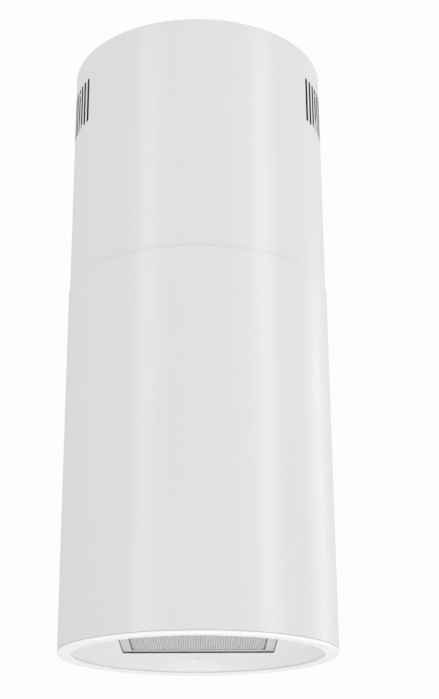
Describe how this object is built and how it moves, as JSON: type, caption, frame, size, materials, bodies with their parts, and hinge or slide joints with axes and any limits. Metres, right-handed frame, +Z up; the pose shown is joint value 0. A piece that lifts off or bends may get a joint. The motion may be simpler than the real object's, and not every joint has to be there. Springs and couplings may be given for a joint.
{
  "type": "cylindrical island extractor hood",
  "caption": "White ceiling-hung cylindrical extractor hood: two telescoping tubes with air slots, over a recessed underside with a square grease filter in a light ring.",
  "frame": {"origin": "centre of the ceiling plate's top face, which lies on the ceiling", "axes": "+Z up along the hood's axis, out of the ceiling face; -Y is the front; +X is to the right seen from the front"},
  "size_m": [0.39, 0.39, 0.9073],
  "materials": {
    "white_steel": "satin white powder coat",
    "zinc_steel": "galvanised sheet",
    "bright_steel": "zinc-plated fasteners",
    "aluminium": "expanded mesh and folded frame, satin",
    "duct_foil": "pleated foil",
    "opal": "opal diffuser",
    "black_plastic": "moulded, fine grain",
    "grey_plastic": "moulded, fine grain",
    "white_plastic": "moulded, satin",
    "circuit_board": "green solder mask"
  },
  "bodies": {
    "ceiling_frame": {"ceiling_plate": "zinc_steel", "upper_rail_1": "zinc_steel", "upper_rail_2": "zinc_steel", "upper_rail_3": "zinc_steel", "upper_rail_4": "zinc_steel", "upper_brace": "zinc_steel", "air_deflector": "black_plastic", "duct_hose": "duct_foil"},
    "upper_tube": {"upper_chimney": "white_steel"},
    "drop_frame": {"lower_rail_1": "zinc_steel", "lower_rail_2": "zinc_steel", "lower_rail_3": "zinc_steel", "lower_rail_4": "zinc_steel", "clamp_screw_1": "bright_steel", "clamp_screw_2": "bright_steel", "clamp_screw_3": "bright_steel", "clamp_screw_4": "bright_steel", "mount_tray": "zinc_steel", "blower_cradle": "zinc_steel", "lower_chimney": "white_steel", "blower_case_left": "black_plastic", "blower_case_right": "black_plastic", "motor": "grey_plastic", "motor_bracket": "zinc_steel", "inlet_guard": "black_plastic", "outlet_collar": "black_plastic", "flap_pin": "bright_steel", "control_box": "grey_plastic", "control_box_lid": "grey_plastic", "control_board": "circuit_board", "cable_gland": "black_plastic", "motor_capacitor": "white_plastic", "light_driver": "white_plastic", "motor_lead": "grey_plastic", "recess_panel": "white_steel", "panel_screw_1": "white_steel", "panel_screw_2": "white_steel", "panel_screw_3": "white_steel", "panel_screw_4": "white_steel", "panel_screw_5": "white_steel", "panel_screw_6": "white_steel", "light_carrier": "zinc_steel", "light_strip": "white_plastic", "light_ring": "opal", "button_bezel": "grey_plastic"},
    "impeller_rotor": {"impeller": "black_plastic", "motor_shaft": "bright_steel"},
    "rear_flap": {"flap_rear": "grey_plastic"},
    "front_flap": {"flap_front": "grey_plastic"},
    "right_charcoal": {"charcoal_filter_right": "black_plastic"},
    "left_charcoal": {"charcoal_filter_left": "black_plastic"},
    "grease_filter": {"filter_frame": "aluminium", "filter_mesh": "aluminium", "filter_core": "aluminium"},
    "latch": {"filter_latch": "bright_steel"},
    "off_key": {"button_off": "white_plastic"},
    "low_key": {"button_low": "white_plastic"},
    "medium_key": {"button_medium": "white_plastic"},
    "high_key": {"button_high": "white_plastic"},
    "light_key": {"button_light": "white_plastic"}
  },
  "joints": [
    {"name": "height_adjust", "type": "slide", "parent": "ceiling_frame", "child": "drop_frame", "axis": [0, 0, 1], "range_m": [0, 0.15], "deforming": ["duct_hose"]},
    {"name": "upper_tube_drop", "type": "slide", "parent": "ceiling_frame", "child": "upper_tube", "axis": [0, 0, 1], "range_m": [-0.2, 0]},
    {"name": "impeller_spin", "type": "hinge", "parent": "drop_frame", "child": "impeller_rotor", "pos_m": [0, 0, -0.735], "axis": [1, 0, 0], "continuous": true},
    {"name": "rear_flap_hinge", "type": "hinge", "parent": "drop_frame", "child": "rear_flap", "pos_m": [0, 0, -0.5341], "axis": [1, 0, 0], "range_deg": [0, 75]},
    {"name": "front_flap_hinge", "type": "hinge", "parent": "drop_frame", "child": "front_flap", "pos_m": [0, 0, -0.5341], "axis": [-1, 0, 0], "range_deg": [0, 75]},
    {"name": "right_charcoal_turn", "type": "hinge", "parent": "drop_frame", "child": "right_charcoal", "pos_m": [0.098, 0, -0.735], "axis": [1, 0, 0], "range_deg": [0, 20]},
    {"name": "left_charcoal_turn", "type": "hinge", "parent": "drop_frame", "child": "left_charcoal", "pos_m": [-0.098, 0, -0.735], "axis": [-1, 0, 0], "range_deg": [0, 20]},
    {"name": "filter_hinge", "type": "hinge", "parent": "drop_frame", "child": "grease_filter", "pos_m": [0, 0.111, -0.884], "axis": [1, 0, 0], "range_deg": [0, 70]},
    {"name": "latch_slide", "type": "slide", "parent": "grease_filter", "child": "latch", "axis": [0, 1, 0], "range_m": [0, 0.005], "stiffness_N_per_m": 300, "springref_m": -0.004},
    {"name": "button_off_press", "type": "slide", "parent": "drop_frame", "child": "off_key", "axis": [0, 0, 1], "range_m": [0, 0.0015], "stiffness_N_per_m": 300, "springref_m": -0.003},
    {"name": "button_low_press", "type": "slide", "parent": "drop_frame", "child": "low_key", "axis": [0, 0, 1], "range_m": [0, 0.0015], "stiffness_N_per_m": 300, "springref_m": -0.003},
    {"name": "button_medium_press", "type": "slide", "parent": "drop_frame", "child": "medium_key", "axis": [0, 0, 1], "range_m": [0, 0.0015], "stiffness_N_per_m": 300, "springref_m": -0.003},
    {"name": "button_high_press", "type": "slide", "parent": "drop_frame", "child": "high_key", "axis": [0, 0, 1], "range_m": [0, 0.0015], "stiffness_N_per_m": 300, "springref_m": -0.003},
    {"name": "button_light_press", "type": "slide", "parent": "drop_frame", "child": "light_key", "axis": [0, 0, 1], "range_m": [0, 0.0015], "stiffness_N_per_m": 300, "springref_m": -0.003}
  ]
}
